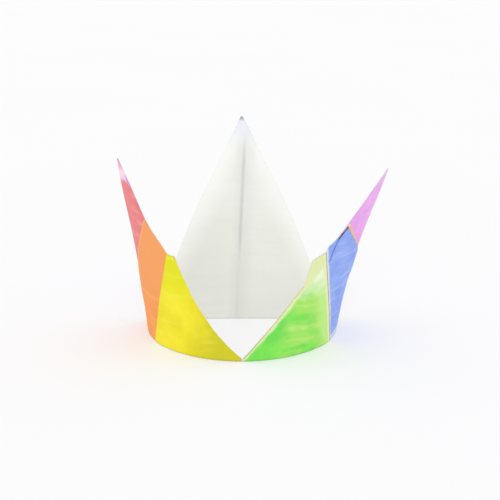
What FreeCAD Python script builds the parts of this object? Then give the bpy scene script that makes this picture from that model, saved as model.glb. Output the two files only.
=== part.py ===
import FreeCAD, Part
import math
import os

os.makedirs("parts", exist_ok=True)

# Paper crown: two curved points meet at a front notch and wrap round the head, and a
# flatter third point closes the ring behind. Each point is a white liner sheet with
# painted sheets layered on its outside, and small glued tabs join the liners.
# Front is -Y, up is +Z, and the ring's lower edge lies in the plane z = 0.
# The sheets are drawn for a ring of 90 mm mean radius and enlarged by GROW at the end.

GROW = 1.11            # enlarges the drawn crown to a ring about 530 mm round
OVAL = 0.055           # share by which the ring is narrower than it is deep
PAPER = 0.36           # drawn thickness of one sheet of heavy watercolour paper
PITCH = 0.55           # step from one sheet of a stack to the next
BEND = 0.49            # share by which the flare grows from the rim to the tip
FLARE_FLAT = 11.5      # cone angle in degrees that lays the rim's arc out flat
BACK_SEAT = 18.0       # distance of the back point's middle behind the ring's axis
HALF_TURN = 59.85      # half of the sector that a front liner may fill, degrees
HALF_TRIM = 59.4       # half of the sector that its painted sheets may fill, degrees
BACK_TURN = 5.24       # half of the sector of the back liner, degrees
BACK_TRIM = 5.20       # half of the sector of the back point's painted sheets, degrees
NOTCH = 94.0           # the front notch's bottom on a front point's flat sheet
NOTCH_UP = -7.6        # the same, above the middle of the lower edge
EDGE = 93.4            # where a painted sheet's side edge meets the front notch
REAR = -62.6           # rear corner of a front point's flat sheet
REAR_UP = -4.0         # the same, above the middle of the lower edge
HEM = 0.7              # height of the painted sheets above the liner's lower edge
TAB_HALF = 14.0        # half of the sector behind the front notch that a tab fills
TAB_FOOT = 0.3         # height of a tab's lower edge
TAB_TOP = 11.0         # height of a tab's ears
TAB_WAIST = 2.2        # height of the front tab where it crosses the notch
TAB_EAR = 17.0         # distance from the notch to an ear's inner corner
FAR = 900.0            # size of the blocks that trim a rolled sheet

# Each point: radius of its wall at the rim, lean at mid height and azimuth in degrees,
# length along the slope.
LEFT = {"radius": 90.0, "flare": 11.5, "turn": -60.0, "slant": 174.0}
RIGHT = {"radius": 90.0, "flare": 18.8, "turn": 60.0, "slant": 174.0}
BACK = {"radius": 900.0, "flare": 19.0, "turn": 180.0, "slant": 190.0}


# ---------------------------------------------------------------- rolling a sheet

def meridian(point, s, lift):
    """Radius and height of a place s along the slope, lift mm outside the liner."""
    start = math.radians(point["flare"]) * (1.0 - BEND)
    rate = 2.0 * BEND * math.radians(point["flare"]) / point["slant"]
    lean = start + rate * s
    radius = point["radius"] + (math.cos(start) - math.cos(lean)) / rate
    height = (math.sin(lean) - math.sin(start)) / rate
    return radius + lift * math.cos(lean), height - lift * math.sin(lean)


def roll(point, x, y, lift):
    """Place the flat pattern point (x, y) on the flared wall."""
    spread = math.sin(math.radians(FLARE_FLAT))
    apex = point["radius"] / spread
    s = math.hypot(x, y + apex) - apex
    angle = math.radians(point["turn"]) + math.atan2(x, y + apex) / spread
    radius, height = meridian(point, s, lift)
    return FreeCAD.Vector(radius * math.sin(angle), -radius * math.cos(angle), height)


def band(point, lift, half_turn):
    """Thin flared wall one sheet thick, half_turn degrees to each side of the middle."""
    low = -6.0
    high = point["slant"] + 2.0
    rows = []
    for depth in (lift, lift + PAPER):
        row = []
        for s in (low, 0.5 * (low + high), high):
            radius, height = meridian(point, s, depth)
            row.append(FreeCAD.Vector(radius, 0, height))
        rows.append(row)
    inner = Part.Arc(rows[0][0], rows[0][1], rows[0][2]).toShape()
    outer = Part.Arc(rows[1][0], rows[1][1], rows[1][2]).toShape()
    foot = Part.makeLine(rows[0][0], rows[1][0])
    head = Part.makeLine(rows[0][2], rows[1][2])
    section = Part.Face(Part.Wire([foot, outer, head, inner]))
    axis = FreeCAD.Vector(0, 0, 1)
    wall = section.revolve(FreeCAD.Vector(0, 0, 0), axis, 2.0 * half_turn)
    wall.rotate(FreeCAD.Vector(0, 0, 0), axis, point["turn"] - 90.0 - half_turn)
    return wall


def trim(wall, point, first, second):
    """Cut a wall along the line from first to second and keep the side on its left."""
    p = roll(point, first[0], first[1], 0)
    q = roll(point, second[0], second[1], 0)
    mx = 0.5 * (first[0] + second[0])
    my = 0.5 * (first[1] + second[1])
    out = roll(point, mx, my, 10.0) - roll(point, mx, my, 0)
    facing = FreeCAD.Rotation(FreeCAD.Vector(0, 0, 1), out.cross(q - p))
    shift = facing.multVec(FreeCAD.Vector(-FAR / 2, -FAR / 2, 0))
    block = Part.makeBox(FAR, FAR, FAR)
    block.Placement = FreeCAD.Placement(p + shift, facing)
    return wall.common(block)


def settle(shape, point, foot):
    """Press a front point to the oval, or set the back point behind, and level its foot."""
    press = FreeCAD.Matrix()
    press.A11 = GROW
    press.A22 = GROW
    press.A33 = GROW
    if point is BACK:
        press.A24 = GROW * (BACK_SEAT - BACK["radius"])
    else:
        press.A11 = GROW * (1.0 - OVAL)
        press.A22 = GROW / (1.0 - OVAL)
    placed = shape.transformGeometry(press)
    corner = FreeCAD.Vector(-FAR / 2, -FAR / 2, GROW * foot)
    level = placed.common(Part.makeBox(FAR, FAR, FAR, corner))
    return max(level.Solids, key=lambda solid: solid.Volume)


def cut_all(wall, point, cuts):
    """Trim a wall along each of the cuts and keep its largest piece."""
    for first, second in cuts:
        wall = trim(wall, point, first, second)
    return max(wall.Solids, key=lambda solid: solid.Volume)


def sheet(point, layer, cuts):
    """Painted sheet number layer of a stack, trimmed along each of the cuts."""
    half_turn = BACK_TRIM if point is BACK else HALF_TRIM
    wall = band(point, layer * PITCH, half_turn)
    return settle(cut_all(wall, point, cuts), point, HEM)


def liner(point, cuts):
    """White sheet that makes one point, before its foot is levelled."""
    half_turn = BACK_TURN if point is BACK else HALF_TURN
    return cut_all(band(point, 0.0, half_turn), point, cuts)


# ---------------------------------------------------------------- left point

# Liner: the edge to the front notch steps in above the shoulder of the yellow sheet.
left_blank = liner(LEFT, [((NOTCH, NOTCH_UP), (48.0, 93.0)),
                          ((-3.8, 173.0), (-35.0, 90.0)),
                          ((-35.0, 90.0), (REAR, REAR_UP)),
                          ((-2.0, 172.8), (-5.0, 172.8))])
corner = trim(left_blank, LEFT, (30.0, 94.0), (60.0, 91.0))
corner = trim(corner, LEFT, (-2.2, 174.0), (39.4, 93.0))
left_liner = settle(left_blank.cut(corner), LEFT, 0.0)
left_liner.exportStep("parts/left_liner.step")

# Red sheet: the tip and the whole rear edge.
red_sheet = sheet(LEFT, 1, [((22.5, 117.0), (-2.9, 172.4)),
                            ((-4.2, 172.4), (-34.6, 90.0)),
                            ((-34.6, 90.0), (REAR + 0.4, REAR_UP)),
                            ((-2.0, 172.2), (-5.0, 172.2)),
                            ((-10.1, 75.0), (25.0, 116.9))])
red_sheet.exportStep("parts/red_sheet.step")

# Orange sheet: a slanting band across the middle, lapped over the red one.
orange_sheet = sheet(LEFT, 2, [((-0.3, -10.8), (48.1, 92.8)),
                               ((38.6, 93.0), (18.9, 122.0)),
                               ((18.9, 122.0), (-16.2, 80.1)),
                               ((-34.6, 90.0), (REAR + 0.4, REAR_UP))])
orange_sheet.exportStep("parts/orange_sheet.step")

# Yellow sheet: a half-size triangle beside the front notch, on top of the stack.
yellow_sheet = sheet(LEFT, 3, [((EDGE, NOTCH_UP), (47.4, 93.0)),
                               ((48.1, 91.2), (39.1, 92.8)),
                               ((39.1, 92.8), (-9.3, -10.8))])
yellow_sheet.exportStep("parts/yellow_sheet.step")


# ---------------------------------------------------------------- right point

right_blank = liner(RIGHT, [((-REAR, REAR_UP), (35.0, 90.0)),
                            ((35.0, 90.0), (3.5, 173.0)),
                            ((1.8, 173.0), (-39.8, 97.8)),
                            ((-39.8, 97.8), (-NOTCH, NOTCH_UP)),
                            ((5.0, 172.8), (1.0, 172.8))])
right_liner = settle(right_blank, RIGHT, 0.0)
right_liner.exportStep("parts/right_liner.step")

# Violet sheet: the tip and the upper half of the rear edge.
violet_sheet = sheet(RIGHT, 1, [((-REAR - 0.4, REAR_UP), (34.6, 90.0)),
                                ((34.6, 90.0), (3.0, 172.4)),
                                ((2.2, 172.4), (-27.4, 119.0)),
                                ((5.0, 172.2), (1.0, 172.2)),
                                ((-28.5, 115.6), (54.0, 51.8))])
violet_sheet.exportStep("parts/violet_sheet.step")

# Orange strip: a narrow underlay that peeps out along the top of the blue sheet.
orange_strip = sheet(RIGHT, 2, [((-REAR - 0.4, REAR_UP), (34.6, 90.0)),
                                ((34.6, 90.0), (3.0, 172.4)),
                                ((2.2, 172.4), (-27.4, 119.0)),
                                ((60.7, 60.5), (-21.8, 124.3)),
                                ((-27.3, 117.2), (55.2, 53.4))])
orange_strip.exportStep("parts/orange_strip.step")

# Blue sheet: the rear corner and a tongue that climbs to the front edge.
blue_sheet = sheet(RIGHT, 3, [((-23.6, 121.9), (-38.6, 97.8)),
                              ((-48.2, 97.8), (0.4, -8.6)),
                              ((58.9, 58.1), (-23.6, 121.9)),
                              ((-REAR - 0.4, REAR_UP), (34.6, 90.0))])
blue_sheet.exportStep("parts/blue_sheet.step")

# Green sheet: a half-size triangle beside the front notch, on top of the stack.
green_sheet = sheet(RIGHT, 4, [((-39.2, 98.6), (-EDGE, NOTCH_UP)),
                               ((-39.2, 97.8), (-51.9, 91.4)),
                               ((9.4, -8.6), (-39.2, 97.8))])
green_sheet.exportStep("parts/green_sheet.step")


# ---------------------------------------------------------------- back point

# Liner: its sides swell a little between the rear corners and the tip.
back_blank = liner(BACK, [((83.0, -2.0), (47.0, 92.0)),
                          ((47.0, 92.0), (0.8, 189.4)),
                          ((-0.8, 189.4), (-47.0, 92.0)),
                          ((-47.0, 92.0), (-83.0, -2.0)),
                          ((2.0, 189.2), (-2.0, 189.2))])
back_liner = settle(back_blank, BACK, 0.0)
back_liner.exportStep("parts/back_liner.step")

# Lilac sheet: the tip and the edge next to the right point.
lilac_sheet = sheet(BACK, 1, [((46.6, 92.0), (0.4, 189.0)),
                              ((-0.4, 189.0), (-46.6, 92.0)),
                              ((-46.6, 92.0), (-82.6, -2.0)),
                              ((2.0, 188.8), (-2.0, 188.8)),
                              ((-62.0, 6.0), (30.0, 116.0))])
lilac_sheet.exportStep("parts/lilac_sheet.step")

# Magenta sheet: a slanting band across the middle.
magenta_sheet = sheet(BACK, 2, [((-8.0, -4.0), (45.0, 92.0)),
                                ((46.6, 92.0), (0.4, 189.0)),
                                ((24.0, 122.0), (-68.0, 12.0)),
                                ((-46.6, 92.0), (-82.6, -2.0))])
magenta_sheet.exportStep("parts/magenta_sheet.step")

# Rose sheet: a half-size triangle next to the left point.
rose_sheet = sheet(BACK, 3, [((82.6, -2.0), (46.6, 92.0)),
                             ((47.0, 90.4), (37.0, 92.0)),
                             ((37.0, 92.0), (-16.0, -4.0))])
rose_sheet.exportStep("parts/rose_sheet.step")


# ---------------------------------------------------------------- joining tabs

# Front tab: a bow tie glued inside both front liners, cut low where it crosses the notch.
MIDDLE = {"radius": 90.0, "flare": 11.5, "turn": 0.0, "slant": 174.0}
bow = band(MIDDLE, -PITCH, TAB_HALF)
bow = trim(bow, MIDDLE, (25.0, TAB_TOP), (-25.0, TAB_TOP))
wedge = trim(bow, MIDDLE, (-TAB_EAR, TAB_TOP + 1.0), (0.0, TAB_WAIST))
wedge = trim(wedge, MIDDLE, (0.0, TAB_WAIST), (TAB_EAR, TAB_TOP + 1.0))
front_tab = settle(bow.cut(wedge), MIDDLE, TAB_FOOT)
front_tab.exportStep("parts/front_tab.step")


def corner_tab(hand):
    """Strip folded round a rear corner: one flap on a front liner, one on the back one."""
    front = {"radius": 90.0, "flare": 11.5, "turn": hand * 94.5, "slant": 174.0}
    flap = band(front, -PITCH - 0.1, 4.5)
    flap = trim(flap, front, (20.0, TAB_TOP), (-20.0, TAB_TOP))
    flap = settle(flap, front, TAB_FOOT)
    other = band(BACK, -PITCH, 5.335)
    other = trim(other, BACK, (90.0, TAB_TOP), (-90.0, TAB_TOP))
    if hand < 0:
        other = trim(other, BACK, (68.0, TAB_TOP + 4.0), (70.0, -9.0))
    else:
        other = trim(other, BACK, (-70.0, -9.0), (-68.0, TAB_TOP + 4.0))
    other = settle(other, BACK, TAB_FOOT)
    return flap.fuse(other)


right_tab = corner_tab(1)
right_tab.exportStep("parts/right_tab.step")

left_tab = corner_tab(-1)
left_tab.exportStep("parts/left_tab.step")
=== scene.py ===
import math

import bmesh
import bpy
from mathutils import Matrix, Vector, noise


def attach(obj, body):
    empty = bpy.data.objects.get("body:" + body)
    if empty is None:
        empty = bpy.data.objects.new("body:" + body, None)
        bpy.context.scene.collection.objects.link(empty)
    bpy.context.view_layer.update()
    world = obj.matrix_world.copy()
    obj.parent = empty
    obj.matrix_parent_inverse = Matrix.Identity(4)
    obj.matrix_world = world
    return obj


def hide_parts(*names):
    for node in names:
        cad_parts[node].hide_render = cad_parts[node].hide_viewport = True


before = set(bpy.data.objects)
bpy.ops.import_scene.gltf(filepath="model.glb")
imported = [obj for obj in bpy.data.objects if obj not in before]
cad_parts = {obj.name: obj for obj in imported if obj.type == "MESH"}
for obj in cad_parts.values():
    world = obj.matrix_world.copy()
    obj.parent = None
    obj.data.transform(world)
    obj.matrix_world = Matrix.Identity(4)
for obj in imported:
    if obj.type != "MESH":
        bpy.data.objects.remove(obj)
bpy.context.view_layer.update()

# ---------------------------------------------------------------- left liner
# The left point's inner sheet: heavy white watercolour paper cut by hand to a tall
# triangle, rolled round one side of the head ring and leaning outwards. Its base corners are
# glued to the neighbouring points, and the painted sheets are glued on its outside.

GROW = 1.11
PAPER = 0.00036
PITCH = 0.00055
BEND = 0.49
OVAL = 0.055
SPREAD = math.sin(math.radians(11.5))
LEFT = {"radius": 0.090, "flare": 11.5, "turn": -60.0, "slant": 0.174, "press": OVAL,
        "set_back": 0.0, "seed": 3.1, "fold": 0.0}

LEFT_FOOT = (0.0940, -0.0120)
LEFT_NOTCH = (0.0940, -0.0075)
LEFT_SHOULDER = (0.0480, 0.0910)
LEFT_STEP = (0.0390, 0.0925)
LEFT_CREST = (0.0185, 0.1215)
LEFT_NECK = (0.0060, 0.1555)
LEFT_TIP = (-0.0035, 0.1725)
NOTCH_HOLLOW = 0.0065
OVERHANG = 0.0002
ON_RING = (0.0, 0.0, (0.0, 0.0), (0.0, 1.0))
ON_LINER = (1.0, 1.0, (0.0, 0.0), (0.0, 1.0))


def hollow_cut(a, b, hollow, count):
    """Points of a scissor cut from a to b that dips inwards by hollow at its middle."""
    size = math.hypot(b[0] - a[0], b[1] - a[1])
    points = []
    for i in range(count + 1):
        t = i / count
        dip = 4.0 * hollow * t * (1.0 - t) / size
        points.append((a[0] + (b[0] - a[0]) * t - dip * (b[1] - a[1]),
                       a[1] + (b[1] - a[1]) * t + dip * (b[0] - a[0])))
    return points


def shifted(points, step):
    """The same places moved sideways, so that paint reaches past the liner's edge."""
    return [(x + step, y) for x, y in points]


def is_inside(x, y, outline):
    """Even-odd test of a point against a cut outline."""
    inside = False
    count = len(outline)
    for i in range(count):
        ax, ay = outline[i]
        bx, by = outline[(i + 1) % count]
        if (ay > y) != (by > y) and x < ax + (y - ay) * (bx - ax) / (by - ay):
            inside = not inside
    return inside


def cut_flat(bm, outline, point, hem, half_turn, step):
    """Lay out a flat fan of paper and cut it along every edge of the outline."""
    reach = math.radians(half_turn) * point["radius"]
    apex = point["radius"] / SPREAD
    low_u = max(-reach, min(p[0] for p in outline) * 1.10 - 0.004)
    high_u = min(reach, max(p[0] for p in outline) * 1.10 + 0.004)
    high_s = max(p[1] for p in outline) + 0.003
    across = int((high_u - low_u) / step) + 1
    along = int((high_s - hem) / step) + 1
    bmesh.ops.create_grid(bm, x_segments=across, y_segments=along, size=1.0)
    for v in bm.verts:
        u = low_u + (v.co.x + 1.0) * 0.5 * (high_u - low_u)
        s = hem + (v.co.y + 1.0) * 0.5 * (high_s - hem)
        v.co = Vector(((apex + s) * math.sin(u / apex), (apex + s) * math.cos(u / apex) - apex, 0))
    closed = list(outline) + [(outline[-1][0], -0.05), (outline[0][0], -0.05)]
    for i in range(len(outline) - 1):
        ax, ay = outline[i]
        bx, by = outline[i + 1]
        everything = bm.verts[:] + bm.edges[:] + bm.faces[:]
        bmesh.ops.bisect_plane(bm, geom=everything, dist=1e-7, plane_co=(ax, ay, 0),
                               plane_no=(by - ay, ax - bx, 0))
    outside = []
    for f in bm.faces:
        middle = f.calc_center_median()
        if not is_inside(middle.x, middle.y, closed):
            outside.append(f)
    bmesh.ops.delete(bm, geom=outside, context="FACES")
    bmesh.ops.remove_doubles(bm, verts=bm.verts[:], dist=2e-6)


def rise_and_fall(x, y, seed):
    """Slow waviness of a hand-bent sheet, shared by every sheet of one point."""
    broad = noise.noise(Vector((x * 12.0, y * 12.0, seed)))
    fine = noise.noise(Vector((x * 40.0, y * 40.0, seed + 7.0)))
    return 0.0018 * broad + 0.0002 * fine


def lap_lift(x, y, lap):
    """How many sheets lie under this one: most at the lap, then it drops to the liner."""
    high, low, a, b = lap
    if high == low:
        return low
    size = math.hypot(b[0] - a[0], b[1] - a[1])
    away = ((x - a[0]) * (b[1] - a[1]) - (y - a[1]) * (b[0] - a[0])) / size
    t = max(0.0, min(1.0, (abs(away) - 0.010) / 0.014))
    return high + (low - high) * t * t * (3.0 - 2.0 * t)


def roll_sheet(bm, point, lap):
    """Roll a flat sheet onto the flared wall of its point, with a scissor wobble."""
    start = math.radians(point["flare"]) * (1.0 - BEND)
    rate = 2.0 * BEND * math.radians(point["flare"]) / point["slant"]
    apex = point["radius"] / SPREAD
    for v in bm.verts:
        x, y = v.co.x, v.co.y
        s = math.hypot(x, y + apex) - apex
        rise = max(0.0, min(1.0, (s - 0.004) / 0.05))
        sway = Vector((x * 55.0, y * 55.0, point["seed"] + 20.0))
        x += 0.00045 * rise * noise.noise(sway)
        y += 0.00045 * rise * noise.noise(sway + Vector((9.0, 9.0, 0.0)))
        s = math.hypot(x, y + apex) - apex
        turn = math.radians(point["turn"]) + math.atan2(x, y + apex) / SPREAD
        lean = start + rate * s
        fold = point["fold"] * math.exp(-abs(x - 0.002) / 0.012) * max(0.0, 1.0 - s / 0.195)
        out = PAPER + PITCH * lap_lift(x, y, lap) + rise * (rise_and_fall(x, y, point["seed"]) + fold)
        radius = point["radius"] + (math.cos(start) - math.cos(lean)) / rate + out * math.cos(lean)
        height = (math.sin(lean) - math.sin(start)) / rate - out * math.sin(lean)
        across = radius * math.sin(turn) * (1.0 - point["press"])
        deep = point["set_back"] - radius * math.cos(turn) / (1.0 - point["press"])
        v.co = Vector((across, deep, height)) * GROW


def rolled(outline, point, lap, hem, half_turn):
    """Mesh of one sheet, cut flat, rolled and facing away from the head."""
    bm = bmesh.new()
    uv = bm.loops.layers.uv.new("flat")
    cut_flat(bm, outline, point, hem, half_turn, 0.0017)
    for f in bm.faces:
        f.smooth = True
        for loop in f.loops:
            loop[uv].uv = (loop.vert.co.x, loop.vert.co.y)
    roll_sheet(bm, point, lap)
    bmesh.ops.recalc_face_normals(bm, faces=bm.faces[:])
    middle = math.radians(point["turn"])
    outward = Vector((math.sin(middle), -math.cos(middle), 0.0))
    lean = sum((f.normal * f.calc_area() for f in bm.faces), Vector()).dot(outward)
    if lean < 0.0:
        bmesh.ops.reverse_faces(bm, faces=bm.faces[:])
    return bm


def paper_piece(name, bm, face, back):
    """Object with an outer face and cut edges of one paper and an inner face of another."""
    mesh = bpy.data.meshes.new(name)
    bm.to_mesh(mesh)
    bm.free()
    piece = bpy.data.objects.new(name, mesh)
    bpy.context.scene.collection.objects.link(piece)
    mesh.materials.append(face)
    mesh.materials.append(back)
    wall = piece.modifiers.new("thickness", "SOLIDIFY")
    wall.thickness = GROW * PAPER
    wall.offset = -1.0
    wall.material_offset = 1
    wall.material_offset_rim = 0
    wall.use_even_offset = True
    return piece


def make_sheet(name, outline, point, lap, hem, half_turn, face, back):
    """One paper sheet of a point."""
    return paper_piece(name, rolled(outline, point, lap, hem, half_turn), face, back)


def put(tree, kind, settings, inputs):
    """Add a shader node, with its settings and its sockets filled or linked."""
    node = tree.nodes.new(kind)
    for key, value in settings.items():
        setattr(node, key, value)
    for key, value in inputs.items():
        if isinstance(value, bpy.types.NodeSocket):
            tree.links.new(value, node.inputs[key])
        else:
            node.inputs[key].default_value = value
    return node


def calc(tree, operation, a, b):
    """Math node on two numbers or sockets."""
    return put(tree, "ShaderNodeMath", {"operation": operation}, {0: a, 1: b}).outputs[0]


def flat_place(tree):
    """Where a point of the surface lies on the flat sheet, in metres."""
    return put(tree, "ShaderNodeUVMap", {"uv_map": "flat"}, {}).outputs["UV"]


def mottle(tree, place, scale, detail, stretch, angle):
    """Noise on the flat sheet, drawn out along the brush when stretch is above one."""
    turned = put(tree, "ShaderNodeMapping", {},
                 {"Vector": place, "Rotation": (0, 0, math.radians(angle)),
                  "Scale": (1.0 / stretch, 1.0, 1.0)}).outputs["Vector"]
    cloud = put(tree, "ShaderNodeTexNoise", {},
                {"Vector": turned, "Scale": scale, "Detail": detail, "Roughness": 0.55})
    return cloud.outputs["Fac"]


def from_line(tree, place, a, b, start, end, ragged, scale):
    """0 to 1 as the distance left of line a-b goes from start to end, with a ragged rim."""
    dx, dy = b[0] - a[0], b[1] - a[1]
    size = math.hypot(dx, dy)
    nx, ny = -dy / size, dx / size
    along = put(tree, "ShaderNodeVectorMath", {"operation": "DOT_PRODUCT"},
                {0: place, 1: (nx, ny, 0)}).outputs["Value"]
    away = calc(tree, "ADD", along, -(a[0] * nx + a[1] * ny))
    if ragged:
        cloud = mottle(tree, place, scale, 3.0, 1.0, 0.0)
        away = calc(tree, "ADD", away, calc(tree, "MULTIPLY", calc(tree, "SUBTRACT", cloud, 0.5), ragged))
    step = put(tree, "ShaderNodeMapRange", {"interpolation_type": "SMOOTHSTEP"},
               {0: away, 1: start, 2: end, 3: 0.0, 4: 1.0})
    return step.outputs[0]


def tint(tree, base, colour, mask):
    """Lay a colour over the base where the mask is one."""
    mix = put(tree, "ShaderNodeMix", {"data_type": "RGBA"}, {"Factor": mask})
    for index, value in ((6, base), (7, colour)):
        if isinstance(value, bpy.types.NodeSocket):
            tree.links.new(value, mix.inputs[index])
        else:
            mix.inputs[index].default_value = (value[0], value[1], value[2], 1.0)
    return mix.outputs[2]


def linear(red, green, blue):
    """Turn a given colour, 0 to 255, into light values."""
    return tuple(((c / 255.0 + 0.055) / 1.055) ** 2.4 for c in (red, green, blue))


def finish_paper(tree, place, colour, tooth, roughness):
    """Matte paper surface with the felt tooth of cold-pressed sheets."""
    bsdf = tree.nodes["Principled BSDF"]
    tree.links.new(colour, bsdf.inputs["Base Color"])
    bsdf.inputs["Roughness"].default_value = roughness
    bsdf.inputs["Specular IOR Level"].default_value = 0.22
    felt = mottle(tree, place, 620.0, 3.0, 1.6, 20.0)
    fibre = mottle(tree, place, 1900.0, 2.0, 3.0, -35.0)
    relief = calc(tree, "ADD", felt, calc(tree, "MULTIPLY", fibre, 0.35))
    bump = put(tree, "ShaderNodeBump", {}, {"Strength": tooth, "Distance": 0.00035, "Height": relief})
    tree.links.new(bump.outputs["Normal"], bsdf.inputs["Normal"])


def new_paper(name):
    """Empty material and its node tree."""
    mat = bpy.data.materials.new(name)
    mat.use_nodes = True
    return mat, mat.node_tree


def white_paper(name, light, shade):
    """Bare watercolour paper: faint clouding, fibre flecks and a little hand grime."""
    mat, tree = new_paper(name)
    place = flat_place(tree)
    cloud = mottle(tree, place, 16.0, 4.0, 1.0, 0.0)
    fleck = mottle(tree, place, 900.0, 3.0, 4.0, 55.0)
    clouded = put(tree, "ShaderNodeMapRange", {}, {0: cloud, 1: 0.35, 2: 0.75}).outputs[0]
    colour = tint(tree, light, shade, clouded)
    speck = put(tree, "ShaderNodeMapRange", {}, {0: fleck, 1: 0.60, 2: 0.80, 3: 0.0, 4: 0.35}).outputs[0]
    colour = tint(tree, colour, tuple(c * 0.90 for c in shade), speck)
    finish_paper(tree, place, colour, 0.30, 0.82)
    return mat


bare_paper = white_paper("bare_paper", linear(243, 243, 239), linear(235, 235, 229))
notch_cut = [LEFT_FOOT] + hollow_cut(LEFT_NOTCH, LEFT_SHOULDER, NOTCH_HOLLOW, 6)
left_outline = notch_cut + [LEFT_STEP, LEFT_CREST, LEFT_NECK, LEFT_TIP, (-0.0045, 0.1725),
                            (-0.0350, 0.0900), (-0.0625, -0.0040), (-0.0650, -0.0120)]
left_liner = make_sheet("left_liner_sheet", left_outline, LEFT, ON_RING, 0.0, 59.85,
                        bare_paper, bare_paper)
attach(left_liner, "root")
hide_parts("left_liner")

# ---------------------------------------------------------------- red sheet
# The lowest painted sheet of the left point. It covers the tip and the rear edge, in a
# coral wash that the brush left almost dry, pink to white, towards the tip.

left_tip_cut = shifted([LEFT_CREST, LEFT_NECK, LEFT_TIP], OVERHANG)
RED_OUTLINE = [(-0.0545, 0.0220), (0.0215, 0.1160)] + left_tip_cut
RED_OUTLINE += [(-0.0045, 0.1725), (-0.0345, 0.0900), (-0.0545, 0.0220)]

coral_wash, tree = new_paper("coral_wash")
place = flat_place(tree)
wash = mottle(tree, place, 22.0, 4.0, 1.0, 0.0)
hairs = mottle(tree, place, 190.0, 4.0, 9.0, 65.0)
colour = tint(tree, linear(240, 142, 142), linear(228, 118, 124),
              put(tree, "ShaderNodeMapRange", {}, {0: wash, 1: 0.35, 2: 0.68}).outputs[0])
colour = tint(tree, colour, linear(246, 168, 160),
              put(tree, "ShaderNodeMapRange", {}, {0: hairs, 1: 0.52, 2: 0.75, 3: 0.0, 4: 0.7}).outputs[0])
colour = tint(tree, colour, linear(244, 176, 204),
              from_line(tree, place, (-0.05, 0.146), (0.05, 0.158), -0.004, 0.005, 0.008, 120.0))
streak = calc(tree, "MULTIPLY",
              from_line(tree, place, (-0.05, 0.148), (0.05, 0.160), -0.002, 0.003, 0.006, 160.0),
              from_line(tree, place, (-0.05, 0.162), (0.05, 0.166), 0.003, -0.003, 0.006, 160.0))
colour = tint(tree, colour, linear(253, 228, 240), calc(tree, "MULTIPLY", streak, 0.8))
tick = calc(tree, "MULTIPLY",
            from_line(tree, place, (0.0105, 0.1400), LEFT_NECK, 0.0034, 0.0016, 0.001, 200.0),
            calc(tree, "MULTIPLY",
                 from_line(tree, place, (-0.05, 0.149), (0.05, 0.149), -0.001, 0.001, 0.001, 200.0),
                 from_line(tree, place, (-0.05, 0.159), (0.05, 0.159), 0.001, -0.001, 0.001, 200.0)))
colour = tint(tree, colour, linear(214, 150, 230), calc(tree, "MULTIPLY", tick, 0.8))
colour = tint(tree, colour, linear(206, 138, 164),
              from_line(tree, place, (-0.05, 0.169), (0.05, 0.169), -0.001, 0.004, 0.002, 160.0))
finish_paper(tree, place, colour, 0.24, 0.74)


def put_on(piece, node):
    """The piece rides with the crown and stands for its solid."""
    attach(piece, "root")
    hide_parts(node)


red_sheet = make_sheet("red_paper", RED_OUTLINE, LEFT, ON_LINER, 0.0007, 59.4, coral_wash, bare_paper)
put_on(red_sheet, "red_sheet")

# ---------------------------------------------------------------- orange sheet
# A slanting band across the middle of the left point, lapped over the red sheet. The
# paint is a thin salmon orange, deeper where two strokes crossed.

left_step_cut = shifted([LEFT_STEP, LEFT_CREST], OVERHANG)
ORANGE_OUTLINE = [(0.0020, -0.0060), (0.0470, 0.0900)] + left_step_cut
ORANGE_OUTLINE += [(-0.0490, 0.0410), (-0.0620, -0.0040), (-0.0645, -0.0120)]

orange_wash, tree = new_paper("orange_wash")
place = flat_place(tree)
wash = mottle(tree, place, 26.0, 4.0, 1.0, 0.0)
hairs = mottle(tree, place, 210.0, 4.0, 10.0, 62.0)
colour = tint(tree, linear(249, 166, 92), linear(246, 148, 76),
              put(tree, "ShaderNodeMapRange", {}, {0: wash, 1: 0.36, 2: 0.66}).outputs[0])
colour = tint(tree, colour, linear(254, 192, 130),
              put(tree, "ShaderNodeMapRange", {}, {0: hairs, 1: 0.52, 2: 0.76, 3: 0.0, 4: 0.7}).outputs[0])
colour = tint(tree, linear(246, 162, 98), colour,
              from_line(tree, place, (0.05, 0.045), (-0.05, 0.045), -0.030, 0.030, 0.02, 60.0))
colour = tint(tree, linear(254, 196, 120), colour,
              from_line(tree, place, LEFT_CREST, (-0.0160, 0.0800), 0.0004, 0.0014, 0.0008, 400.0))
finish_paper(tree, place, colour, 0.24, 0.74)

orange_sheet = make_sheet("orange_paper", ORANGE_OUTLINE, LEFT, (2.0, 1.0, LEFT_CREST, (-0.0160, 0.0800)),
                          0.0007, 59.4, orange_wash, bare_paper)
put_on(orange_sheet, "orange_sheet")

# ---------------------------------------------------------------- yellow sheet
# A half-size triangle beside the front notch, on top of the left stack. Its strong
# yellow runs darker, to ochre, towards the lower corner by the notch.

YELLOW_OUTLINE = shifted(notch_cut + [LEFT_STEP], OVERHANG) + [(-0.0070, -0.0050)]

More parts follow.
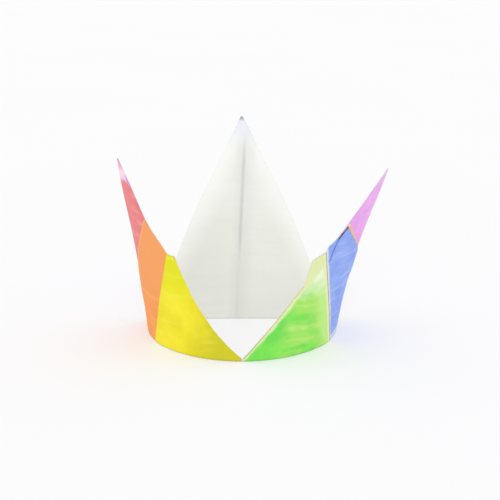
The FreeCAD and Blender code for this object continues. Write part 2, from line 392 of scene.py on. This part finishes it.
yellow_wash, tree = new_paper("yellow_wash")
place = flat_place(tree)
wash = mottle(tree, place, 30.0, 5.0, 1.0, 0.0)
hairs = mottle(tree, place, 200.0, 4.0, 9.0, 58.0)
colour = tint(tree, linear(246, 234, 52), linear(236, 218, 34),
              put(tree, "ShaderNodeMapRange", {}, {0: wash, 1: 0.38, 2: 0.62}).outputs[0])
colour = tint(tree, colour, linear(228, 226, 28),
              from_line(tree, place, (0.02, 0.055), (0.06, 0.050), -0.012, 0.022, 0.02, 80.0))
colour = tint(tree, colour, linear(208, 200, 38),
              from_line(tree, place, (0.055, 0.030), (0.015, -0.060), -0.012, 0.030, 0.026, 70.0))
colour = tint(tree, colour, linear(250, 238, 90),
              put(tree, "ShaderNodeMapRange", {}, {0: hairs, 1: 0.54, 2: 0.78, 3: 0.0, 4: 0.6}).outputs[0])
# Painted shade: a thin dark olive line along the notch edge, the cut edge of the paper in shadow.
colour = tint(tree, linear(176, 160, 40), colour,
              from_line(tree, place, LEFT_NOTCH, LEFT_SHOULDER, -0.0004, 0.0010, 0.0008, 300.0))
finish_paper(tree, place, colour, 0.24, 0.72)

yellow_sheet = make_sheet("yellow_paper", YELLOW_OUTLINE, LEFT, (2.0, 1.0, LEFT_STEP, (-0.0015, 0.0060)),
                          0.0007, 59.4, yellow_wash, bare_paper)
put_on(yellow_sheet, "yellow_sheet")

# ---------------------------------------------------------------- right liner
# The right point's inner sheet, cut from the same white paper. It leans out further than
# the left one, and its edge to the front notch swells where the green sheet ends.

RIGHT = {"radius": 0.090, "flare": 18.8, "turn": 60.0, "slant": 0.174, "press": OVAL,
         "set_back": 0.0, "seed": 11.7, "fold": 0.0}
RIGHT_FOOT = (-0.0940, -0.0120)
RIGHT_NOTCH = (-0.0940, -0.0075)
RIGHT_SIDE = (-0.0520, 0.0675)
RIGHT_SHOULDER = (-0.0515, 0.0910)
RIGHT_STEP = (-0.0385, 0.0985)
RIGHT_RISE = (-0.0380, 0.1020)
RIGHT_CREST = (-0.0235, 0.1215)
RIGHT_TIP = (0.0025, 0.1725)
CREST_HOLLOW = 0.0015
right_crest_cut = hollow_cut(RIGHT_CREST, RIGHT_RISE, CREST_HOLLOW, 2)
RIGHT_OUTLINE = [(0.0650, -0.0120), (0.0625, -0.0040), (0.0350, 0.0900), (0.0035, 0.1725),
                 RIGHT_TIP]
RIGHT_OUTLINE += right_crest_cut
RIGHT_OUTLINE += [RIGHT_STEP, RIGHT_SHOULDER, RIGHT_SIDE, RIGHT_NOTCH, RIGHT_FOOT]

right_liner = make_sheet("right_liner_sheet", RIGHT_OUTLINE, RIGHT, ON_RING, 0.0, 59.85,
                         bare_paper, bare_paper)
put_on(right_liner, "right_liner")

# ---------------------------------------------------------------- violet sheet
# The lowest painted sheet of the right point, a pink violet that covers its tip and the
# upper half of the rear edge.

VIOLET_OUTLINE = [(0.0440, 0.0575), (0.0345, 0.0900), (0.0030, 0.1725)]
VIOLET_OUTLINE += shifted([RIGHT_TIP, RIGHT_CREST], -OVERHANG)
VIOLET_OUTLINE += [(-0.0270, 0.1145), (0.0440, 0.0575)]

violet_wash, tree = new_paper("violet_wash")
place = flat_place(tree)
wash = mottle(tree, place, 30.0, 5.0, 1.0, 0.0)
hairs = mottle(tree, place, 230.0, 4.0, 9.0, 118.0)
colour = tint(tree, linear(242, 180, 241), linear(231, 160, 236),
              put(tree, "ShaderNodeMapRange", {}, {0: wash, 1: 0.38, 2: 0.64}).outputs[0])
colour = tint(tree, colour, linear(248, 190, 246),
              put(tree, "ShaderNodeMapRange", {}, {0: hairs, 1: 0.53, 2: 0.76, 3: 0.0, 4: 0.7}).outputs[0])
colour = tint(tree, colour, linear(232, 186, 236),
              from_line(tree, place, (-0.05, 0.152), (0.05, 0.152), -0.004, 0.010, 0.008, 160.0))
finish_paper(tree, place, colour, 0.24, 0.74)

violet_sheet = make_sheet("violet_paper", VIOLET_OUTLINE, RIGHT, ON_LINER, 0.0007, 59.4,
                          violet_wash, bare_paper)
put_on(violet_sheet, "violet_sheet")

# ---------------------------------------------------------------- orange strip
# A narrow strip of leftover orange paper that peeps out between violet and blue, with
# bare cream paper at its front end.

STRIP_KNEE = (-0.0050, 0.1075)
STRIP_OUTLINE = [(0.0420, 0.0640), (0.0390, 0.0755), STRIP_KNEE, (-0.0215, 0.1235),
                 (-0.0265, 0.1160), (0.0420, 0.0640)]

strip_wash, tree = new_paper("strip_wash")
place = flat_place(tree)
wash = mottle(tree, place, 120.0, 4.0, 1.0, 0.0)
colour = tint(tree, linear(252, 176, 92), linear(250, 206, 96),
              put(tree, "ShaderNodeMapRange", {}, {0: wash, 1: 0.40, 2: 0.60}).outputs[0])
colour = tint(tree, colour, linear(250, 160, 140),
              from_line(tree, place, (0.014, 0.080), (0.024, 0.100), 0.004, -0.006, 0.006, 200.0))
colour = tint(tree, colour, linear(252, 226, 200),
              from_line(tree, place, (-0.022, 0.118), (-0.012, 0.124), 0.000, 0.003, 0.003, 300.0))
finish_paper(tree, place, colour, 0.24, 0.74)

orange_strip = make_sheet("orange_strip_paper", STRIP_OUTLINE, RIGHT, (2.0, 2.0, (0.0, 0.0), (0.0, 1.0)),
                          0.0007, 59.4, strip_wash, bare_paper)
put_on(orange_strip, "orange_strip")

# ---------------------------------------------------------------- blue sheet
# The rear corner of the right point and a tongue that climbs to the front edge. The
# brush stopped short of the sheet's front side and left a pale margin there.

BLUE_KNEE = (-0.0060, 0.1060)
BLUE_OUTLINE = [(0.0645, -0.0120), (0.0620, -0.0040), (0.0395, 0.0735), BLUE_KNEE]
BLUE_OUTLINE += shifted(right_crest_cut + [RIGHT_STEP], -OVERHANG)
BLUE_OUTLINE += [(-0.0470, 0.0930), (0.0020, -0.0100)]

blue_wash, tree = new_paper("blue_wash")
place = flat_place(tree)
wash = mottle(tree, place, 34.0, 5.0, 1.0, 0.0)
hairs = mottle(tree, place, 180.0, 5.0, 8.0, 105.0)
colour = tint(tree, linear(156, 180, 245), linear(134, 160, 237),
              put(tree, "ShaderNodeMapRange", {}, {0: wash, 1: 0.38, 2: 0.62}).outputs[0])
colour = tint(tree, colour, linear(182, 198, 250),
              put(tree, "ShaderNodeMapRange", {}, {0: hairs, 1: 0.52, 2: 0.76, 3: 0.0, 4: 0.8}).outputs[0])
stroke = calc(tree, "MULTIPLY",
              from_line(tree, place, (-0.0295, 0.0930), (-0.0290, 0.1110), -0.0014, 0.0002, 0.002, 140.0),
              from_line(tree, place, (-0.0295, 0.0930), (-0.0290, 0.1110), 0.0020, 0.0004, 0.002, 140.0))
stroke = calc(tree, "MULTIPLY", stroke,
              from_line(tree, place, (-0.05, 0.086), (0.05, 0.086), -0.004, 0.006, 0.004, 140.0))
colour = tint(tree, colour, linear(74, 100, 204), calc(tree, "MULTIPLY", stroke, 0.7))
# Partly dark navy paint, partly painted shade: a dark band along the raised top edge by the crest, where
# the sheet laps.
navy = calc(tree, "MULTIPLY",
            from_line(tree, place, (-0.0300, 0.1105), RIGHT_CREST, -0.0018, -0.0006, 0.0004, 200.0),
            from_line(tree, place, (-0.05, 0.1102), (0.05, 0.1102), 0.0000, 0.0006, 0.0, 1.0))
colour = tint(tree, colour, linear(48, 58, 120), navy)
foot = from_line(tree, place, (0.05, 0.0050), (-0.05, -0.0010), -0.0024, -0.0040, 0.0030, 170.0)
colour = tint(tree, linear(206, 214, 244), colour, foot)
GREEN_TOP = (-0.0390, 0.0975)
margin = from_line(tree, place, (0.0045, 0.0020), GREEN_TOP, -0.0014, -0.0040, 0.0030, 150.0)
colour = tint(tree, linear(224, 228, 244), colour, margin)
finish_paper(tree, place, colour, 0.24, 0.74)

blue_sheet = make_sheet("blue_paper", BLUE_OUTLINE, RIGHT, (3.0, 1.0, RIGHT_CREST, (0.0610, 0.0575)),
                        0.0007, 59.4, blue_wash, bare_paper)
put_on(blue_sheet, "blue_sheet")

# ---------------------------------------------------------------- green sheet
# A half-size triangle beside the front notch, on top of the right stack. Bright green
# was brushed over a yellow green ground, and bare cream paper shows along its sides and
# towards its top.

GREEN_OUTLINE = [(0.0080, -0.0050), GREEN_TOP]
GREEN_OUTLINE += shifted([RIGHT_SHOULDER, RIGHT_SIDE, RIGHT_NOTCH, RIGHT_FOOT], -OVERHANG)

green_wash, tree = new_paper("green_wash")
place = flat_place(tree)
wash = mottle(tree, place, 38.0, 5.0, 1.0, 0.0)
hairs = mottle(tree, place, 150.0, 5.0, 7.0, 122.0)
patch = mottle(tree, place, 60.0, 4.0, 2.5, 122.0)
colour = tint(tree, linear(164, 230, 102), linear(190, 236, 124),
              put(tree, "ShaderNodeMapRange", {}, {0: hairs, 1: 0.45, 2: 0.65}).outputs[0])
strong = from_line(tree, place, (-0.010, 0.000), (-0.052, 0.075), -0.006, 0.016, 0.030, 90.0)
pooled = from_line(tree, place, (-0.050, -0.010), (-0.050, 0.050), 0.000, 0.018, 0.014, 90.0)
strokes = put(tree, "ShaderNodeMapRange", {}, {0: patch, 1: 0.42, 2: 0.56}).outputs[0]
strong = calc(tree, "MULTIPLY", strong, calc(tree, "MAXIMUM", pooled, strokes))
colour = tint(tree, colour,
              tint(tree, linear(114, 221, 86), linear(134, 230, 90),
                   put(tree, "ShaderNodeMapRange", {}, {0: wash, 1: 0.42, 2: 0.60}).outputs[0]), strong)
pale_side = from_line(tree, place, (0.0045, 0.0020), GREEN_TOP, 0.0070, 0.0200, 0.0120, 90.0)
colour = tint(tree, linear(194, 238, 138), colour, pale_side)
top = from_line(tree, place, (-0.06, 0.066), (0.0, 0.070), -0.018, 0.012, 0.030, 110.0)
colour = tint(tree, colour, linear(236, 248, 216), top)
front_margin = from_line(tree, place, RIGHT_NOTCH, (-0.0465, 0.0720), -0.0006, -0.0036, 0.0036, 140.0)
colour = tint(tree, linear(226, 236, 176), colour, front_margin)
side_margin = from_line(tree, place, (0.0045, 0.0020), GREEN_TOP, 0.0018, 0.0052, 0.0044, 130.0)
colour = tint(tree, linear(232, 238, 176), colour, side_margin)
# Painted shade: a thin dark brown line along the side where green laps over blue, the lapped edge in
# shadow.
colour = tint(tree, linear(150, 128, 84), colour,
              from_line(tree, place, (0.0045, 0.0020), GREEN_TOP, 0.0002, 0.0009, 0.0008, 200.0))
# Painted shade: a thin dark line inside the lower notch edge, the cut edge of the paper in shadow.
edge = calc(tree, "MULTIPLY",
            from_line(tree, place, RIGHT_NOTCH, (-0.0520, 0.0690), -0.0014, -0.0002, 0.0006, 200.0),
            from_line(tree, place, (-0.10, 0.068), (0.05, 0.068), 0.002, -0.004, 0.0, 1.0))
colour = tint(tree, colour, linear(176, 168, 116), calc(tree, "MULTIPLY", edge, 0.8))
finish_paper(tree, place, colour, 0.24, 0.74)

green_sheet = make_sheet("green_paper", GREEN_OUTLINE, RIGHT, (2.2, 1.0, (0.0045, 0.0020), GREEN_TOP),
                         0.0007, 59.4, green_wash, bare_paper)
put_on(green_sheet, "green_sheet")

# ---------------------------------------------------------------- back liner
# The back point's inner sheet, whose white face shows between the two front points.
# That face is a greyer, greener copy of the bare paper: painted shade with painted coloured bounce light.
# It was folded down the middle and opened again; the grey band and line along the crease are painted shade.

BACK = {"radius": 0.900, "flare": 19.0, "turn": 180.0, "slant": 0.190, "press": 0.0,
        "set_back": -0.882, "seed": 23.9, "fold": 0.0011}
BACK_OUTLINE = [(0.0845, -0.0060), (0.0470, 0.0920), (0.0007, 0.1893), (-0.0007, 0.1893),
                (-0.0470, 0.0920), (-0.0845, -0.0060)]

inner_paper, tree = new_paper("inner_paper")
place = flat_place(tree)
cloud = mottle(tree, place, 14.0, 4.0, 1.6, 90.0)
streak = mottle(tree, place, 160.0, 4.0, 14.0, 90.0)
fleck = mottle(tree, place, 900.0, 3.0, 4.0, 55.0)
# Painted shade: the inner face's base is greyer and greener than the bare paper.
colour = tint(tree, linear(234, 235, 229), linear(226, 227, 220),
              put(tree, "ShaderNodeMapRange", {}, {0: cloud, 1: 0.34, 2: 0.70}).outputs[0])
colour = tint(tree, colour, linear(224, 224, 216),
              put(tree, "ShaderNodeMapRange", {}, {0: streak, 1: 0.52, 2: 0.80, 3: 0.0, 4: 0.5}).outputs[0])
colour = tint(tree, colour, linear(216, 216, 210),
              put(tree, "ShaderNodeMapRange", {}, {0: fleck, 1: 0.62, 2: 0.82, 3: 0.0, 4: 0.3}).outputs[0])
# Painted light: the inner face is lighter along both upper edges.
light_side = from_line(tree, place, (0.0470, 0.0920), (0.0, 0.1893), 0.022, 0.0, 0.012, 30.0)
far_side = from_line(tree, place, (0.0, 0.1893), (-0.0470, 0.0920), 0.022, 0.0, 0.012, 30.0)
colour = tint(tree, colour, linear(242, 242, 238), calc(tree, "MAXIMUM", light_side, far_side))
# Painted shade: a grey band on both sides of the crease.
near_fold = from_line(tree, place, (0.0045, 0.020), (-0.0018, 0.149), 0.016, 0.0005, 0.004, 50.0)
far_fold = from_line(tree, place, (0.0045, 0.020), (-0.0018, 0.149), -0.010, -0.0005, 0.004, 50.0)
grey = calc(tree, "MULTIPLY", calc(tree, "MULTIPLY", near_fold, far_fold), 0.30)
colour = tint(tree, colour, linear(208, 208, 204), grey)
# Painted shade: a darker line along the crease, weakest at the bottom and fading at the tip.
line = calc(tree, "MULTIPLY",
            from_line(tree, place, (0.0045, 0.020), (-0.0018, 0.149), 0.0024, 0.0002, 0.0008, 90.0),
            from_line(tree, place, (0.0045, 0.020), (-0.0018, 0.149), -0.0024, -0.0002, 0.0008, 90.0))
line = calc(tree, "MULTIPLY", line,
            calc(tree, "ADD", 0.25,
                 from_line(tree, place, (-0.05, 0.050), (0.05, 0.050), 0.0, 0.03, 0.0, 1.0)))
line = calc(tree, "MULTIPLY", line,
            from_line(tree, place, (0.05, 0.160), (-0.05, 0.160), -0.020, 0.020, 0.0, 1.0))
colour = tint(tree, colour, linear(194, 194, 196), calc(tree, "MULTIPLY", line, 0.5))
# Painted light: a lilac tint near the tip, where the outer lilac sheet shows through the paper.
colour = tint(tree, colour, linear(230, 231, 243),
              from_line(tree, place, (-0.05, 0.168), (0.05, 0.168), -0.010, 0.014, 0.010, 60.0))
# Painted shade: the top 3 mm darkened grey, the tip's edge in shadow.
colour = tint(tree, colour, linear(168, 168, 178),
              from_line(tree, place, (-0.05, 0.1850), (0.05, 0.1850), -0.001, 0.003, 0.002, 160.0))
finish_paper(tree, place, colour, 0.26, 0.82)

back_liner = make_sheet("back_liner_sheet", BACK_OUTLINE, BACK, ON_RING, 0.0, 5.24, bare_paper, inner_paper)
put_on(back_liner, "back_liner")

# ---------------------------------------------------------------- lilac sheet
# The lowest painted sheet of the back point. The paint order goes on round the ring
# here, from red by way of rose and magenta to lilac.

LILAC_OUTLINE = [(-0.0720, -0.0060), (-0.0620, 0.0060), (0.0333, 0.1199), (0.0004, 0.1888),
                 (-0.0004, 0.1888), (-0.0466, 0.0920), (-0.0826, -0.0020), (-0.0841, -0.0060)]

lilac_wash, tree = new_paper("lilac_wash")
place = flat_place(tree)
wash = mottle(tree, place, 28.0, 5.0, 1.0, 0.0)
hairs = mottle(tree, place, 200.0, 4.0, 9.0, 62.0)
colour = tint(tree, linear(206, 160, 240), linear(184, 134, 228),
              put(tree, "ShaderNodeMapRange", {}, {0: wash, 1: 0.38, 2: 0.64}).outputs[0])
colour = tint(tree, colour, linear(222, 190, 248),
              put(tree, "ShaderNodeMapRange", {}, {0: hairs, 1: 0.53, 2: 0.76, 3: 0.0, 4: 0.7}).outputs[0])
colour = tint(tree, colour, linear(240, 222, 250),
              from_line(tree, place, (-0.05, 0.166), (0.05, 0.172), -0.006, 0.008, 0.012, 150.0))
finish_paper(tree, place, colour, 0.24, 0.74)

lilac_sheet = make_sheet("lilac_paper", LILAC_OUTLINE, BACK, ON_LINER, 0.0007, 5.20, lilac_wash, bare_paper)
put_on(lilac_sheet, "lilac_sheet")

# ---------------------------------------------------------------- magenta sheet
# A slanting band across the middle of the back point, lapped over the lilac sheet.

MAGENTA_OUTLINE = [(-0.0091, -0.0060), (0.0450, 0.0920), (0.0459, 0.0936), (0.0293, 0.1283),
                   (-0.0680, 0.0120), (-0.0830, -0.0060)]

magenta_wash, tree = new_paper("magenta_wash")
place = flat_place(tree)
wash = mottle(tree, place, 26.0, 5.0, 1.0, 0.0)
hairs = mottle(tree, place, 210.0, 4.0, 10.0, 60.0)
colour = tint(tree, linear(244, 146, 206), linear(232, 116, 188),
              put(tree, "ShaderNodeMapRange", {}, {0: wash, 1: 0.38, 2: 0.64}).outputs[0])
colour = tint(tree, colour, linear(250, 180, 222),
              put(tree, "ShaderNodeMapRange", {}, {0: hairs, 1: 0.53, 2: 0.76, 3: 0.0, 4: 0.7}).outputs[0])
finish_paper(tree, place, colour, 0.24, 0.74)

magenta_sheet = make_sheet("magenta_paper", MAGENTA_OUTLINE, BACK,
                           (2.0, 1.0, (0.0240, 0.1220), (-0.0680, 0.0120)),
                           0.0007, 5.20, magenta_wash, bare_paper)
put_on(magenta_sheet, "magenta_sheet")

# ---------------------------------------------------------------- rose sheet
# A half-size triangle next to the left point, on top of the back stack, with a bare
# margin where the brush stopped short of the edge.

ROSE_OUTLINE = [(0.0841, -0.0060), (0.0826, -0.0020), (0.0470, 0.0906), (0.0370, 0.0920),
                (-0.0160, -0.0040), (-0.0171, -0.0060)]

rose_wash, tree = new_paper("rose_wash")
place = flat_place(tree)
wash = mottle(tree, place, 30.0, 5.0, 1.0, 0.0)
hairs = mottle(tree, place, 190.0, 4.0, 9.0, 58.0)
colour = tint(tree, linear(246, 128, 150), linear(234, 100, 128),
              put(tree, "ShaderNodeMapRange", {}, {0: wash, 1: 0.38, 2: 0.62}).outputs[0])
colour = tint(tree, colour, linear(252, 164, 176),
              put(tree, "ShaderNodeMapRange", {}, {0: hairs, 1: 0.53, 2: 0.76, 3: 0.0, 4: 0.7}).outputs[0])
colour = tint(tree, linear(250, 226, 226), colour,
              from_line(tree, place, (0.0826, -0.0020), (0.0466, 0.0920), 0.0016, 0.0036, 0.0030, 150.0))
finish_paper(tree, place, colour, 0.24, 0.74)

rose_sheet = make_sheet("rose_paper", ROSE_OUTLINE, BACK, (2.0, 1.0, (0.0370, 0.0920), (-0.0160, -0.0040)),
                        0.0007, 5.20, rose_wash, bare_paper)
put_on(rose_sheet, "rose_sheet")

# ---------------------------------------------------------------- joining tabs
# Small tabs of white paper glued inside the ring: a bow tie behind the front notch, and a
# strip folded round each rear corner with one flap on either liner.

TAB_OUTLINE = [(0.0216, -0.0100), (0.0216, 0.0110), (0.0165, 0.0110), (0.0000, 0.0020),
               (-0.0165, 0.0110), (-0.0216, 0.0110), (-0.0216, -0.0100)]
FLAP_OUTLINE = [(0.0090, -0.0060), (0.0090, 0.0108), (-0.0090, 0.0108), (-0.0090, -0.0060)]
BEHIND_RING = (-1.0, -1.0, (0.0, 0.0), (0.0, 1.0))
BEHIND_FLAP = (-1.18, -1.18, (0.0, 0.0), (0.0, 1.0))

tab_paper = white_paper("tab_paper", linear(240, 240, 236), linear(228, 228, 220))
front_place = dict(LEFT, turn=0.0, seed=31.0)
front_tab = make_sheet("front_tab_paper", TAB_OUTLINE, front_place, BEHIND_RING, 0.0003, 14.0,
                       tab_paper, tab_paper)
put_on(front_tab, "front_tab")

for name, hand in (("right_tab", 1.0), ("left_tab", -1.0)):
    side_place = dict(LEFT, turn=94.5 * hand, seed=31.0 + hand)
    both = rolled(FLAP_OUTLINE, side_place, BEHIND_FLAP, 0.0003, 4.5)
    ends = [(-0.0850, -0.0060), (-0.0850, 0.0108), (-0.0684, 0.0108), (-0.0698, -0.0060)]
    outline = [(x * hand, y) for x, y in ends]
    second = rolled(outline, BACK, BEHIND_RING, 0.0003, 5.335)
    flap_mesh = bpy.data.meshes.new(name + "_flap")
    second.to_mesh(flap_mesh)
    second.free()
    both.from_mesh(flap_mesh)
    bpy.data.meshes.remove(flap_mesh)
    tab = paper_piece(name + "_paper", both, tab_paper, tab_paper)
    put_on(tab, name)

# ---------------------------------------------------------------- studio
# A pale seamless floor, broad soft light from above and both sides, and the camera at
# a seated person's eye height with a long lens.

bm = bmesh.new()
bmesh.ops.create_grid(bm, x_segments=1, y_segments=1, size=6.0)
floor_mesh = bpy.data.meshes.new("studio_floor")
bm.to_mesh(floor_mesh)
bm.free()
floor = bpy.data.objects.new("studio_floor", floor_mesh)
bpy.context.scene.collection.objects.link(floor)
floor_paint, tree = new_paper("floor_paint")
floor_place = put(tree, "ShaderNodeTexCoord", {}, {}).outputs["Object"]
haze = mottle(tree, floor_place, 2.0, 2.0, 1.0, 0.0)
colour = tint(tree, (0.58, 0.58, 0.59), (0.56, 0.56, 0.57), haze)
tree.links.new(colour, tree.nodes["Principled BSDF"].inputs["Base Color"])
tree.nodes["Principled BSDF"].inputs["Roughness"].default_value = 0.9
tree.nodes["Principled BSDF"].inputs["Emission Color"].default_value = (1.0, 1.0, 1.0, 1.0)
tree.nodes["Principled BSDF"].inputs["Emission Strength"].default_value = 0.37
tree.nodes["Principled BSDF"].inputs["Specular IOR Level"].default_value = 0.1
floor_mesh.materials.append(floor_paint)

world = bpy.data.worlds.new("studio_air")
bpy.context.scene.world = world
world.use_nodes = True
world.node_tree.nodes["Background"].inputs["Color"].default_value = (1.0, 1.0, 1.0, 1.0)
world.node_tree.nodes["Background"].inputs["Strength"].default_value = 0.92


def soft_sun(name, place, strength, spread):
    """Broad, even light from one side of the studio."""
    lamp = bpy.data.lights.new(name, "SUN")
    lamp.energy = strength
    lamp.angle = math.radians(spread)
    holder = bpy.data.objects.new(name, lamp)
    bpy.context.scene.collection.objects.link(holder)
    holder.rotation_euler = Vector(place).to_track_quat("Z", "Y").to_euler()


soft_sun("key_light", (-0.7, -1.6, 1.7), 0.45, 60.0)
soft_sun("fill_light", (1.4, -1.0, 1.2), 0.20, 90.0)

CAMERA_FAR = 1.409
TILT = math.radians(19.0)
camera_data = bpy.data.cameras.new("camera")
camera_data.sensor_width = 36.0
camera_data.lens = 100.0
camera_data.clip_start = 0.05
camera_data.clip_end = 40.0
camera = bpy.data.objects.new("camera", camera_data)
bpy.context.scene.collection.objects.link(camera)
camera.location = (0.0, -CAMERA_FAR * math.cos(TILT), CAMERA_FAR * math.sin(TILT))
aim = Vector((0.0080, 0.0248, 0.0718))
camera.rotation_euler = (aim - camera.location).to_track_quat("-Z", "Y").to_euler()
bpy.context.scene.camera = camera
bpy.context.scene.view_settings.view_transform = "Standard"

bpy.context.view_layer.update()
